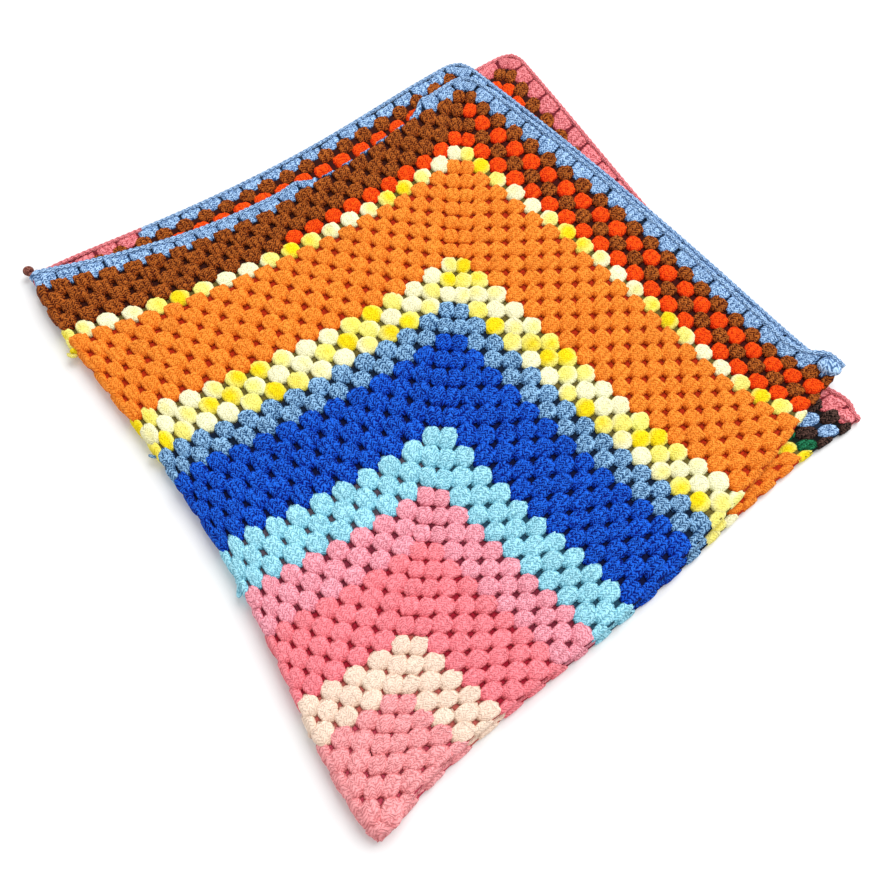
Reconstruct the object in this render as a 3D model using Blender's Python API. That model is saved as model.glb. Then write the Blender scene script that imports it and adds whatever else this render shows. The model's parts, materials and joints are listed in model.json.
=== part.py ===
"""Granny square blanket, folded into quarters and lying flat.

The blanket is one crocheted square worked in rounds from its centre. It is folded twice:
the first fold runs along X and brings the near half under the far half, the second runs
along Y and brings the left half under the right half. Four layers lie one on another:

    first layer (top)     right of the second fold, far side of the first fold
    second layer          right of the second fold, near side of the first fold
    third layer           left of the second fold, near side of the first fold
    fourth layer (table)  left of the second fold, far side of the first fold

The solid is the sheet itself with its real thickness, carried along those folds. Cloth
coordinates (p, q) are measured on the flat blanket from its centre, in metres.
"""
from collections import namedtuple

import bpy
import numpy as np

MM = 0.001

# The blanket, flat
ROUND = 11.0 * MM  # height of one round of stitches
ROUNDS = 44
EDGING = 4.0 * MM  # the chain that finishes the last round
SIDE = ROUNDS * ROUND
HALF = SIDE + EDGING  # centre to free edge

# The cloth in its folds
CLOTH = 3.2 * MM  # thickness of the sheet
LAYER = 4.0 * MM  # from the middle of one layer to the middle of the next
FOLD_ONE = LAYER / 2  # radius of the first fold, at the middle of the sheet
FOLD_TWO = LAYER  # radius of the second fold, between its two sheets
TURN_ONE = FOLD_ONE * np.pi / 2  # half the width of cloth that goes round the first fold
TURN_TWO = FOLD_TWO * np.pi / 2
CENTRE_HEIGHT = FOLD_TWO + FOLD_ONE + CLOTH / 2
RIM = 0.9 * MM  # how far a free edge bulges out
CORNER = 24.0 * MM  # radius of the blanket's corners
CORNER_STEPS = 3

# How far the cloth has crept from a true quarter square, in millimetres. A row lies along
# a line parallel to the first fold; its columns go from the second fold to the free edge.
Row = namedtuple("Row", "at_fold quarter middle three_quarters free_edge")
TOP_LAYER_X = (
    Row(-9, 0, 8, 22, 16),
    Row(7, -14, -4, 3, 6),
    Row(20, -8, -9, 1, 11),
    Row(24, 3, -5, -7, 9),
    Row(33, 17, 5, 4, 1),
)
TOP_LAYER_Y = (
    Row(8, 19, 13, 20, 36),
    Row(1, -14, -13, 1, 13),
    Row(11, -9, -19, -9, 7),
    Row(35, 9, -9, -13, 10),
    Row(50, 11, -9, -5, 4),
)
# What the lower layers add to that, along their far free edges and along the first fold
SECOND_FAR_Y = Row(3, 26, 33, 28, 25)
THIRD_FAR_X = Row(0, 10, 20, 35, 51)
THIRD_FAR_Y = Row(3, 16, 23, 15, 6)
LOWER_NEAR_X = Row(0, -8, -20, -20, -12)
LOWER_NEAR_Y = Row(0, -12, -10, -17, -43)
# And along their right-hand free edges, from the first fold to the far corner
Edge = namedtuple("Edge", "first_fold quarter middle three_quarters corner")
SECOND_EDGE_X = Edge(0, 11, 8, 7, 12)
THIRD_EDGE_X = Edge(0, 0, 0, 8, 12)
FOURTH_INSET = 5.0 * MM  # the fourth layer stays in from the third by this much

# The far edge of the top layer is turned under along part of its length
TUCK_START = 0.235  # distances from the second fold, along the edge
TUCK_FULL = 0.305
TUCK_LAST = 0.395
TUCK_END = 0.440
TUCK_DEPTH = 13.0 * MM  # width of cloth turned under
TUCK_RADIUS = 1.9 * MM
TUCK_RUN = 45.0 * MM  # length over which the cloth rises to the turned edge

# Where the border goes round the first fold it is drawn out into two tips, in millimetres.
# A tip lies on the upper (1) or lower (-1) side of the blanket's second fold, centred on
# the free edge and this far along it from the first fold.
Tip = namedtuple("Tip", "side along reach size lift")
TIPS = (Tip(1, 0, 6, 17, 5), Tip(-1, -32, 8, 24, 0))

# Soft swells in the height of the pile
SWELL = 0.07
Wave = namedtuple("Wave", "across along phase")  # waves per metre, turns
WAVES = (Wave(3.1, 1.3, 0.10), Wave(-1.7, 3.7, 0.45), Wave(4.3, 2.9, 0.80))

# Lines of the mesh
FOLD_STEPS = 4  # on each side of a fold
COARSE = 33.0 * MM
FINE = 16.0 * MM

CLOTH_COLOUR = (0.93, 0.36, 0.10, 1.0)


def along_row(row, share):
    """A smooth curve through the row's five values, in metres; share runs from 0 to 1."""
    nodes = np.linspace(0.0, 1.0, len(row))
    total = np.zeros_like(share)
    for own, value in zip(nodes, row):
        weight = np.ones_like(share)
        for other in nodes[nodes != own]:
            weight = weight * (share - other) / (own - other)
        total = total + value * MM * weight
    return total


def across_rows(rows, s, t):
    """The same through five rows: s goes along a row and t from row to row."""
    nodes = np.linspace(0.0, 1.0, len(rows))
    total = np.zeros_like(s)
    for own, row in zip(nodes, rows):
        weight = np.ones_like(t)
        for other in nodes[nodes != own]:
            weight = weight * (t - other) / (own - other)
        total = total + weight * along_row(row, s)
    return total


def creep(p, q):
    """How far the point (p, q) of the blanket lies from its place in a true quarter square."""
    s, t = np.abs(p) / SIDE, np.abs(q) / SIDE
    far, near = t**2, (1 - t) ** 2
    dx = across_rows(TOP_LAYER_X, s, t)
    dy = across_rows(TOP_LAYER_Y, s, t)
    second = (p > 0) & (q < 0)
    lower = p < 0
    dx = dx + second * s**2 * along_row(SECOND_EDGE_X, t)
    dy = dy + second * far * along_row(SECOND_FAR_Y, s)
    dx = dx + lower * (far * along_row(THIRD_FAR_X, s) + near * along_row(LOWER_NEAR_X, s))
    dx = dx + lower * s**2 * along_row(THIRD_EDGE_X, t)
    dy = dy + lower * (far * along_row(THIRD_FAR_Y, s) + near * along_row(LOWER_NEAR_Y, s))
    inset = lower * (q > 0) * FOURTH_INSET * s * t
    lift = np.zeros_like(s)
    for tip in TIPS:
        distance = np.hypot(HALF - np.abs(p), q - tip.along * MM)
        share = (p * tip.side > 0) * np.exp(-((distance / (tip.size * MM)) ** 2))
        dx = dx + share * tip.reach * MM
        lift = lift + share * tip.lift * MM
    return dx - inset, dy - inset, lift


def smooth_step(low, high, value):
    """0 below low, 1 above high, and a smooth rise between them."""
    share = np.clip((value - low) / (high - low), 0.0, 1.0)
    return share * share * (3 - 2 * share)


def turned_width(p):
    """Width of the far edge of the top layer that is turned under at p."""
    rising = smooth_step(TUCK_START, TUCK_FULL, p)
    falling = 1 - smooth_step(TUCK_LAST, TUCK_END, p)
    return TUCK_DEPTH * rising * falling


def first_fold(p, q, side):
    """Profile of the first fold: distance from it and height in the two-layer stack.

    side is the distance from the middle of the sheet, positive outwards.
    """
    angle = np.clip(q / TURN_ONE, -1, 1) * np.pi / 2
    radius = FOLD_ONE + side
    straight = np.maximum(np.abs(q) - TURN_ONE, 0.0)
    away = TURN_ONE + straight - radius * np.cos(angle)
    height = radius * np.sin(angle)
    away = np.where(straight > 0, TURN_ONE + straight, away)

    # The turned edge: a half circle down, then back flat under the layer
    width = turned_width(p) * (q > 0)
    turn = np.clip((q - (HALF - width)) / TUCK_RADIUS, 0.0, np.pi)
    edge_turn = np.clip(width / TUCK_RADIUS, 0.0, np.pi)
    past = np.maximum(q - (HALF - width) - np.pi * TUCK_RADIUS, 0.0)
    lift = TUCK_RADIUS * (1 - np.cos(edge_turn))
    lift = lift * np.exp(-(np.maximum(HALF - width - q, 0.0) / TUCK_RUN) ** 2)
    turning = (turn > 0) & (width > 0)
    turned_away = HALF - width + (TUCK_RADIUS + side) * np.sin(turn) - past
    turned_height = FOLD_ONE - TUCK_RADIUS + (TUCK_RADIUS + side) * np.cos(turn)
    away = np.where(turning, turned_away, away)
    height = np.where(turning, turned_height, height)
    return away, height + lift * (q > 0)


def round_corners(p, q):
    """Draw the blanket's four square corners in to quarter circles."""
    start = HALF - CORNER
    u = np.clip((np.abs(p) - start) / CORNER, 0, None)
    v = np.clip((np.abs(q) - start) / CORNER, 0, None)
    in_p = CORNER * u * (1 - np.sqrt(1 - v**2 / 2))
    in_q = CORNER * v * (1 - np.sqrt(1 - u**2 / 2))
    return p - np.sign(p) * in_p, q - np.sign(q) * in_q


def place(p, q, side):
    """Where the point (p, q) of the blanket lies, side metres out from the sheet's middle."""
    p, q = round_corners(p, q)
    away, height = first_fold(p, q, side)
    angle = np.clip(p / TURN_TWO, -1, 1) * np.pi / 2
    radius = FOLD_TWO + height
    straight = np.maximum(np.abs(p) - TURN_TWO, 0.0)
    across = TURN_TWO + straight - radius * np.cos(angle) * (straight <= 0)
    dx, dy, lift = creep(p, q)
    x, y = across + dx, away + dy
    z = CENTRE_HEIGHT + radius * np.sin(angle)
    swell = sum(np.sin(2 * np.pi * (w.across * x + w.along * y + w.phase)) for w in WAVES)
    return x, y, z * (1 + SWELL * swell / len(WAVES)) + lift


def spaced(start, stop, step):
    """Even steps from start to stop, none longer than step, without the first."""
    return np.linspace(start, stop, int(np.ceil((stop - start) / step)) + 1)[1:]


def mesh_lines(turn, *stretches):
    """Lines from a fold to the free edge: round the turn, then each stretch at its step."""
    lines = [np.linspace(0.0, turn, FOLD_STEPS + 1)[1:]]
    start = turn
    for stop, step in stretches:
        lines.append(spaced(start, stop, step))
        start = stop
    return np.concatenate(lines)


def sheet_grid():
    """Cloth coordinates of the mesh lines in each direction."""
    corner = HALF - CORNER
    rounding = (HALF, CORNER / CORNER_STEPS)
    right = mesh_lines(TURN_TWO, (TUCK_START, COARSE), (TUCK_END, FINE), (corner, COARSE), rounding)
    left = mesh_lines(TURN_TWO, (corner, COARSE), rounding)
    turned = HALF - TUCK_DEPTH
    far = mesh_lines(TURN_ONE, (turned, COARSE), (HALF, TUCK_RADIUS))
    near = mesh_lines(TURN_ONE, (corner, COARSE), rounding)
    p_lines = np.concatenate([-left[::-1], [0.0], right])
    q_lines = np.concatenate([-near[::-1], [0.0], far])
    return p_lines, q_lines


def rim_points(p_lines, q_lines):
    """Corners of the free edge in order round the blanket, as indices into the two lines."""
    last_p, last_q = len(p_lines) - 1, len(q_lines) - 1
    loop = [(i, 0) for i in range(last_p)]
    loop += [(last_p, j) for j in range(last_q)]
    loop += [(i, last_q) for i in range(last_p, 0, -1)]
    loop += [(0, j) for j in range(last_q, 0, -1)]
    return loop


def sheet_mesh(name):
    """The folded sheet as one closed mesh: outer face, inner face and a rounded rim."""
    p_lines, q_lines = sheet_grid()
    p, q = np.meshgrid(p_lines, q_lines, indexing="ij")
    outer = np.stack(place(p, q, CLOTH / 2), axis=-1)
    inner = np.stack(place(p, q, -CLOTH / 2), axis=-1)
    rows, columns = p.shape
    points = [outer.reshape(-1, 3), inner.reshape(-1, 3)]
    second_face = rows * columns

    def index(i, j, face):
        return face * second_face + i * columns + j

    faces = []
    for i in range(rows - 1):
        for j in range(columns - 1):
            quad = [(i, j), (i + 1, j), (i + 1, j + 1), (i, j + 1)]
            faces.append([index(a, b, 0) for a, b in quad])
            faces.append([index(a, b, 1) for a, b in reversed(quad)])

    # The rim: its middle line is pushed outwards, away from the next line in
    loop = rim_points(p_lines, q_lines)
    push = 1 + RIM / HALF
    rim_p = np.array([p_lines[i] for i, _ in loop])
    rim_q = np.array([q_lines[j] for _, j in loop])
    rim_p = np.where(np.abs(rim_p) == HALF, rim_p * push, rim_p)
    rim_q = np.where(np.abs(rim_q) == HALF, rim_q * push, rim_q)
    points.append(np.stack(place(rim_p, rim_q, np.zeros_like(rim_p)), axis=-1))
    first_rim = 2 * second_face
    count = len(loop)
    for k, (i, j) in enumerate(loop):
        after = (k + 1) % count
        i2, j2 = loop[after]
        here, there = first_rim + k, first_rim + after
        faces.append([index(i2, j2, 0), index(i, j, 0), here, there])
        faces.append([index(i, j, 1), index(i2, j2, 1), there, here])

    points = np.concatenate(points)
    low, high = points.min(axis=0), points.max(axis=0)
    points = points - [(low[0] + high[0]) / 2, (low[1] + high[1]) / 2, low[2]]
    mesh = bpy.data.meshes.new(name)
    mesh.from_pydata(points.tolist(), [], faces)
    mesh.shade_smooth()
    mesh.update()
    return mesh


def cloth_material():
    """Matt acrylic yarn."""
    material = bpy.data.materials.new("crochet_yarn")
    material.use_nodes = True
    shader = material.node_tree.nodes["Principled BSDF"]
    shader.inputs["Base Color"].default_value = CLOTH_COLOUR
    shader.inputs["Roughness"].default_value = 0.95
    shader.inputs["Metallic"].default_value = 0.0
    material.diffuse_color = CLOTH_COLOUR
    return material


def main():
    for old in list(bpy.data.objects):
        bpy.data.objects.remove(old, do_unlink=True)
    mesh = sheet_mesh("blanket")
    mesh.materials.append(cloth_material())
    blanket = bpy.data.objects.new("blanket", mesh)
    bpy.context.scene.collection.objects.link(blanket)


if __name__ == "__main__":
    main()
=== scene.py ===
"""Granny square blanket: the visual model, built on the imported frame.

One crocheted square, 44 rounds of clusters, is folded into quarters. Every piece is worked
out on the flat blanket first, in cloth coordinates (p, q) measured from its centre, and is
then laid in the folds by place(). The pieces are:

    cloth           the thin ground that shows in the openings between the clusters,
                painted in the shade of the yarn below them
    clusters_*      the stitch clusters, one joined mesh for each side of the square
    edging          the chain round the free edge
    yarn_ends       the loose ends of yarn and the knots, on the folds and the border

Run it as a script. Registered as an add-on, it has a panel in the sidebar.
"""
import json
from collections import namedtuple

import bpy
import numpy as np
from bpy.props import FloatProperty, FloatVectorProperty, IntProperty, PointerProperty
from bpy.types import Operator, Panel, PropertyGroup
from mathutils import Matrix, Vector

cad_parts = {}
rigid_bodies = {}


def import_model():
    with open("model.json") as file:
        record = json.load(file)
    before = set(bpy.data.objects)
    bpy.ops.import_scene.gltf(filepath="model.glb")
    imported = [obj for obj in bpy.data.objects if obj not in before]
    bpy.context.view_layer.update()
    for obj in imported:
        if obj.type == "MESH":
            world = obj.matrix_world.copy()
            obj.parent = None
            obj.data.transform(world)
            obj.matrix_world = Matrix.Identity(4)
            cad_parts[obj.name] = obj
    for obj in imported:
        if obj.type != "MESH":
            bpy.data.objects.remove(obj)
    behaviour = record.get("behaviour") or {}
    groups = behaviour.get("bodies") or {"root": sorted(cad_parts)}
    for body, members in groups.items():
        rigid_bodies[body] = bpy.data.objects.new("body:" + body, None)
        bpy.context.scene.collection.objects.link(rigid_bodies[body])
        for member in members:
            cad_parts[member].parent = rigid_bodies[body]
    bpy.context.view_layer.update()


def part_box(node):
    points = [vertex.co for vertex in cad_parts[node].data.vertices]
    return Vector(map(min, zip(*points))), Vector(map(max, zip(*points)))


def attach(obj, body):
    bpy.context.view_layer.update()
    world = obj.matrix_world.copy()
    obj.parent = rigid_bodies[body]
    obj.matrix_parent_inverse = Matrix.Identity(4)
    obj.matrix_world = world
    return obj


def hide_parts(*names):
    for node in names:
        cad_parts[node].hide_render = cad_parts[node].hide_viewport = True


bl_info = {
    "name": "Granny square blanket",
    "version": (1, 0, 0),
    "blender": (4, 5, 0),
    "location": "3D View > Sidebar > Blanket",
    "description": "A folded crochet blanket with its stitches, edging and stage",
    "category": "Add Mesh",
}

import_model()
MM = 0.001

# The blanket, flat
ROUND = 11.0 * MM  # height of one round of stitches
ROUNDS = 44
EDGING = 4.0 * MM
SIDE = ROUNDS * ROUND
HALF = SIDE + EDGING  # centre to free edge

# The folds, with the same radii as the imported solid's
CLOTH = 3.2 * MM  # thickness
LAYER = 4.0 * MM  # from the middle of one layer to the middle of the next
FOLD_ONE = LAYER / 2
FOLD_TWO = LAYER
TURN_ONE = FOLD_ONE * np.pi / 2  # half the width of cloth that goes round the first fold
TURN_TWO = FOLD_TWO * np.pi / 2
CENTRE_HEIGHT = FOLD_TWO + FOLD_ONE + CLOTH / 2
LOWEST = 0.1 * MM  # nothing lies lower than this above the floor
CENTRE_X, CENTRE_Y = 10.5 * MM, 7.8 * MM  # from the low corner of the solid's box
CORNER = 24.0 * MM  # radius of the blanket's corners

# How far the cloth has crept from a true quarter square, in millimetres, at equal steps.
# The top layer's hold for all four, and the others' are added. Its rows lie from the first
# fold to the far edge, and each goes from the second fold to the free edge on the right.
Row = namedtuple("Row", "start quarter middle three_quarters end")
NONE = Row(0, 0, 0, 0, 0)
TOP_LAYER_X = (
    Row(-9, 0, 8, 20, 16),
    Row(7, -14, -4, 1.5, 6),
    Row(20, -8, -9, -1, 11),
    Row(24, 3, -5, -8.5, 9),
    Row(30, 16, 5, 4, 1),
)
TOP_LAYER_Y = (
    Row(8, 19, 13, 20, 36),
    Row(1, -14, -13, 1, 13),
    Row(11, -9, -19, -9, 7),
    Row(35, 7, -10, -13, 10),
    Row(51, 12, -7, -3, 5),
)
# Some rounds lie closer to the centre than that: how far, in millimetres, around which
# distance from the centre, over what width, and where along the round it starts to die out
# and is gone
Slack = namedtuple("Slack", "shift around width full none")
SLACK_X, SLACK_Y = Slack(-9.0, 208, 62, 190, 300), Slack(-6.5, 192, 60, 190, 280)
# What the lower layers add, from the second fold to the right-hand edge, along their far
# edges and along the first fold
SECOND_FAR_Y = Row(3, 26.5, 34, 30, 24)
THIRD_FAR_X, THIRD_FAR_Y = Row(0, 10, 20, 35, 51), Row(3, 16, 23, 15, 4)
LOWER_NEAR_X, LOWER_NEAR_Y = Row(0, 0, -6, -20, -12), Row(-3, -8, -8, -15, -43)
# And along their right-hand edges, from the first fold to the far corner
SECOND_EDGE_X, THIRD_EDGE_X = Row(0, 10, 9, 9, 12), Row(0, 0, 0, 9, 17)
FOURTH_INSET = 5.0 * MM
# What the upper two layers add beside their first fold, from the second fold to the
# right-hand edge, over this width
TURN_X, TURN_Y = Row(0, -3, -6, -4, 0), Row(0, -5, -5, -3, 0)
TURN_WIDTH = 17.0 * MM
# What all layers add beside the second fold, from the first fold to the far edge
SECOND_FOLD_X, SECOND_FOLD_Y = Row(1, -2, 3.5, 3.5, -1), Row(0, -3, -7, -7, -2)
SECOND_FOLD_WIDTH = 22.0 * MM

# The far edge of the top layer is turned under along part of its length: where this
# starts, is full, starts to end and ends, in metres from the second fold, and its sizes
TUCK_START, TUCK_FULL, TUCK_LAST, TUCK_END = 0.235, 0.305, 0.395, 0.440
TUCK_DEPTH = 13.0 * MM
TUCK_RADIUS = 1.9 * MM
TUCK_RUN = 45.0 * MM

# How the border near the first fold's end is drawn out and lifted, in millimetres: side is
# the sign of p, along the q in the middle of the drawn part and size its radius
Tip = namedtuple("Tip", "side along x y size lift")
TIPS = (
    Tip(1, 0, 2, 0, 17, 5), Tip(1, 20, 6, 1, 13, 3), Tip(1, 62, -4, 0, 22, 0),
    Tip(-1, -32, 5, 0, 24, 0), Tip(-1, -4, -6, 5, 15, 0),
)

# Where the folds' ends are drawn in or lie fuller, in millimetres: the place (p, q) in the
# middle of it, how far it moves and the radius
Pull = namedtuple("Pull", "p q x y size")
PULLS = (Pull(0, 488, 5, 2.5, 26), Pull(0, 0, 1.5, 2.5, 7), Pull(15, 0, 1.5, -4, 11))

# Loose ends of yarn on the second fold: where each starts, in millimetres along the fold,
# and the three points that shape it, in millimetres from there in the frame's directions
End = namedtuple("End", "yarn along start bend tip radius")
ENDS = (
    End("pale_yellow", 416, (2.5, -7, 1), (-1.5, 2, 3), (4.5, 9.5, 3), 2.6),
    End("bright_yellow", 416, (2, -9.5, 1), (0.5, -5, 4), (-3, -5.5, 1), 2.4),
    End("pale_yellow", 416, (1, -10, 0.5), (-4.5, -10.5, 1.5), (-5.5, -3.5, 0.5), 1.8),
    End("sky", 212, (3.5, -1, 1), (-11, -18, 1), (1, -9, 1), 1.3),
    End("peach", 86, (7.5, 2, 1), (2, 5, 3), (0, -1, 0), 2.1),
    End("denim", 310, (2, -1, 1), (-2, 1, 3), (-3, 6, 0), 1.3),
    End("russet", 484, (3, 0, 0), (1.5, 6, 0), (2.5, 12, 0), 2.2),
)
# Round ends of the border, in millimetres: at (p, q) of the blanket, moved by (x, y), and
# their half sizes along, across and up; turn is in degrees
Knot = namedtuple("Knot", "yarn p q x y length width height turn")
KNOTS = (
    Knot("russet", 0, 484, 1.3, 12.2, 4.6, 4.4, 4.4, 0),
    Knot("border_blue", 482, 2, -6, 6, 10, 8.0, 4.4, -60),
    Knot("border_pink", -482, -8, -4, 3, 7.5, 6.0, 3.2, -75),
)

# Soft swells in the height of the pile
SWELL = 0.07
Wave = namedtuple("Wave", "across along phase")  # waves per metre, turns
WAVES = (Wave(3.1, 1.3, 0.10), Wave(-1.7, 3.7, 0.45), Wave(4.3, 2.9, 0.80))

# One cluster's mesh lines, from -1 to 1 across its three posts and from its foot to its top
ACROSS = (-1, -0.86, -0.667, -0.333, 0, 0.333, 0.667, 0.86, 1)
FOOT_TO_TOP = (-1, -0.80, -0.40, 0, 0.40, 0.80, 1)
# The last cluster at each end of a round: how far it turns to the corner, in radians, how
# far it moves along the round and out, in rounds, its width and how round its corners are
LAST_TURN, LAST_IN, LAST_OUT, LAST_WIDE, LAST_CORNER = 0.46, 0.26, 0.05, 0.81, 0.42
# The border's clusters: how far in they stand, in rounds, and their width and height. Where
# the far edge is turned under they move out again, and on the near side they are lower.
BORDER_IN, BORDER_WIDE, BORDER_TALL, BORDER_OUT, NEAR_TALL = 0.27, 1.07, 0.86, 0.55, 0.70
BORDER_RELIEF = 0.85
# The second layer's far edge: how far out its last rounds and its border are pushed, in
# rounds, and from which round this starts and is full
PUSH, PUSH_BORDER, PUSH_START, PUSH_FULL = 0.28, 0.16, 40, 43
# Relief where layers press on one another: the outer rounds, the rest, the fourth layer
OUTER_RELIEF, INNER_RELIEF, FOURTH_RELIEF = 2.2 * MM, 1.7 * MM, 1.5 * MM
BEHIND = 1.3 * MM  # how far the point of a cluster's back lies behind the middle
MERGED_BULK, MERGED_CORNER = 1.00, 0.14  # the far side's brown clusters run together
# How much the clusters differ, as standard deviations: size, height, turn in radians, place
# along and across the round, relief, lumps of the face and tint
Stray = namedtuple("Stray", "bulk tall turn along out relief lumps tint")
STRAY = Stray(0.025, 0.02, 0.05, 0.35 * MM, 0.30 * MM, 0.04, 0.06, 0.035)

# The ground: how far it lies inside the top and bottom layers, the width where that starts,
# how far it ends short of the edging, and the strip along its edge with closer lines
GROUND_DROP, DROP_WIDTH, GROUND_IN, STRIP = 0.9 * MM, 12 * MM, 0.5 * MM, 16 * MM

# The edging: length of one turn of its two strands, how far it lies in from the edge, the
# step from ring to ring and the points of a ring
CHAIN_TURN, CHAIN_IN, CHAIN_STEP, CHAIN_SIDES = 5.8 * MM, 2.9 * MM, 1.6 * MM, 10
# How far out of the cloth's middle it lies on the top, the second and the lower layers. It
# is thinner on all but the top layer, and thinner still on the second's far edge.
CHAIN_TOP, CHAIN_SECOND, CHAIN_LOWER = 0.9 * MM, -0.5 * MM, 0.5 * MM
CHAIN_THIN, CHAIN_THINNER = 0.84, 0.85
# How far out the ends and the knots start, and the points of their rings
END_OUT, KNOT_OUT, END_SIDES = 1.6 * MM, 0.5 * MM, 12

# The camera's place and its azimuth, elevation and roll in degrees, where the light comes
# from and its width in degrees, and half the floor's side
CAMERA_PLACE, CAMERA_TURN = (-0.2551, -0.2648, 0.5760), (46.55, 64.0, 3.8)
KEY_FROM, KEY_WIDTH = (1.0, 0.25, 1.3), 50
FLOOR_REACH = 4.0

# Yarn of each band of rounds, from the centre outwards
Band = namedtuple("Band", "first last yarn")
BANDS = (
    Band(1, 7, "pink"),
    Band(8, 10, "peach"),
    Band(11, 15, "coral"),
    Band(16, 18, "dusty_pink"),
    Band(19, 21, "sky"),
    Band(22, 26, "royal"),
    Band(27, 28, "denim"),
    Band(32, 38, "orange"),
    Band(40, 43, "brown"),
)
# Where an outer round changes colour, in rounds from the middle of its side: the far
# side's red, the near side's pink and the left side's dark stretch
RED_FROM, PINK_TO, DARK_TO = 19, 10.6, 14
# Rounds in the yellow yarn whose shade changes along its length: where its brightest
# stretch falls, counted in clusters from the middle of the far side
Shaded = namedtuple("Shaded", "round bright_at")
SHADED = (Shaded(29, 0.75), Shaded(30, 4.0), Shaded(31, 0.15), Shaded(39, 4.85))
SHADE_RUN = 5.38  # clusters from one bright stretch to the next
LEFT_SLIP = 1.3  # how many clusters earlier they fall on the left side

# Each yarn: where it is used, its display colour, how strongly light and shade are painted
# on its strands and in its creases, how thick and how wide its clusters lie, how round their
# corners are, and the display colour of their openings, the yarn below in painted shade
Yarn = namedtuple("Yarn", "name where colour contrast bulk wide corner openings")
YARNS = (
    Yarn("pink", "Rounds 1 to 7", (255, 161, 164), 0.32, 1.05, 1, 0.34, (204, 72, 94)),
    Yarn("peach", "Rounds 8 to 10", (255, 224, 202), 0.17, 1.05, 1, 0.36, (202, 100, 90)),
    Yarn("coral", "Rounds 11 to 15", (255, 135, 145), 0.28, 1.04, 0.99, 0.3, (174, 28, 50)),
    Yarn("dusty_pink", "Rounds 16 to 18", (255, 160, 176), 0.4, 1.03, 1, 0.36, (134, 40, 60)),
    Yarn("sky", "Rounds 19 to 21", (156, 226, 246), 0.5, 1.05, 0.98, 0.34, (34, 76, 98)),
    Yarn("royal", "Rounds 22 to 26", (6, 65, 201), 0.9, 1.04, 1, 0.26, (4, 12, 60)),
    Yarn("denim", "Rounds 27 and 28", (114, 167, 216), 0.96, 1, 0.98, 0.36, (10, 30, 56)),
    Yarn("cream", "Shaded yellow, palest", (255, 250, 205), 0.14, 1.03, 1, 0.4, (118, 104, 56)),
    Yarn("pale_yellow", "Shaded yellow, between", (255, 243, 125), 0.18, 1.03, 1, 0.4, (118, 104, 46)),
    Yarn("bright_yellow", "Shaded yellow, brightest", (255, 226, 15), 0.3, 1.03, 1, 0.4, (118, 100, 30)),
    Yarn("orange", "Rounds 32 to 38", (255, 138, 37), 0.4, 1.04, 0.93, 0.15, (200, 50, 8)),
    Yarn("brown", "Outer rounds", (150, 60, 8), 0.9, 0.94, 1, 0.3, (60, 14, 4)),
    Yarn("red", "Outer rounds, right and near", (255, 68, 2), 0.46, 1, 1, 0.4, (72, 10, 4)),
    Yarn("border_blue", "Last round, far and right", (146, 190, 240), 0.95, 1, 1, 0.4, (22, 40, 62)),
    Yarn("border_pink", "Last round, near and left", (242, 124, 130), 0.6, 1, 1, 0.4, (128, 34, 48)),
    Yarn("black_brown", "Outer rounds, left", (52, 30, 24), 0.9, 1, 1, 0.4, (12, 8, 9)),
    Yarn("green", "Round 40, left", (12, 95, 55), 0.7, 1, 1, 0.4, (8, 26, 18)),
    Yarn("russet", "Knot at the far end", (126, 66, 54), 0.5, 1, 1, 0.4, (50, 20, 16)),
)
NAMES = [own.name for own in YARNS]
# The far side's sky rounds: their openings are painted in the shade of the pink rounds below
SKY_FAR_OPENING_SHADE = (92, 80, 92)  # the pink rounds of the layer below show in them


def linear(red, green, blue):
    """A colour given in 0 to 255 display values, as linear values."""
    share = np.array([red, green, blue]) / 255.0
    return tuple(np.where(share <= 0.04045, share / 12.92, ((share + 0.055) / 1.055) ** 2.4))


class YarnColours(PropertyGroup):
    """The display colour of each yarn."""

    __annotations__ = {
        own.name: FloatVectorProperty(
            name=own.name.replace("_", " ").capitalize(), description=own.where,
            subtype="COLOR", size=3, min=0.0, max=1.0, default=linear(*own.colour),
        )
        for own in YARNS
    }


def length(name, description, default, low, high):
    """A property that is a length, given in millimetres."""
    return FloatProperty(
        name=name, description=description, default=default * MM, min=low * MM, max=high * MM,
        subtype="DISTANCE", unit="LENGTH",
    )


class StitchSizes(PropertyGroup):
    width: length("Cluster width", "Across the three posts of a cluster", 18.3, 8, 22)
    height: length("Cluster height", "From the foot of a cluster to its top", 17.8, 8, 20)
    relief: length("Relief", "How far a cluster stands above the cloth's middle", 2.5, 1, 6)
    posts: FloatProperty(
        name="Grooves between posts", default=0.22, min=0.0, max=0.6, subtype="FACTOR",
        description="Depth of the grooves, as a share of the relief",
    )
    uneven: length("Unevenness", "How far the points of a cluster stray", 0.28, 0, 1)
    ground: length("Ground", "Thickness of the ground under the clusters", 0.7, 0.2, 2)
    chain: length("Edging radius", "Radius of the chain round the free edge", 2.75, 1, 4)
    seed: IntProperty(
        name="Seed", description="Seed of the small differences between clusters",
        default=44, min=0,
    )


class StageSettings(PropertyGroup):
    floor: FloatVectorProperty(
        name="Floor", description="Colour of the floor", subtype="COLOR", size=3,
        min=0.0, max=1.0, default=(0.90, 0.90, 0.90),
    )
    key: FloatProperty(
        name="Key light", description="Strength of the large soft light", default=2.4, min=0.0,
    )
    sky: FloatProperty(
        name="Surrounding light", description="Strength of the even light all round",
        default=0.70, min=0.0,
    )
    lens: FloatProperty(
        name="Lens", description="Focal length in millimetres on a 36 mm sensor",
        default=33.0, min=10.0, max=200.0,
    )


def along_row(row, share):
    """A smooth curve through the row's values, in metres; share goes from 0 to 1.

    Each value counts as much as the product, over the other steps, of the distance from
    that step over the distance between the two.
    """
    steps = np.linspace(0.0, 1.0, len(row))
    total = np.zeros_like(share)
    for own, value in zip(steps, row):
        weight = np.ones_like(share)
        for other in steps[steps != own]:
            weight = weight * (share - other) / (own - other)
        total = total + value * MM * weight
    return total


def across_rows(rows, s, t):
    """The same through the curves of several rows: s along a row, t from row to row."""
    return along_row([along_row(row, s) / MM for row in rows], t)


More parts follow.
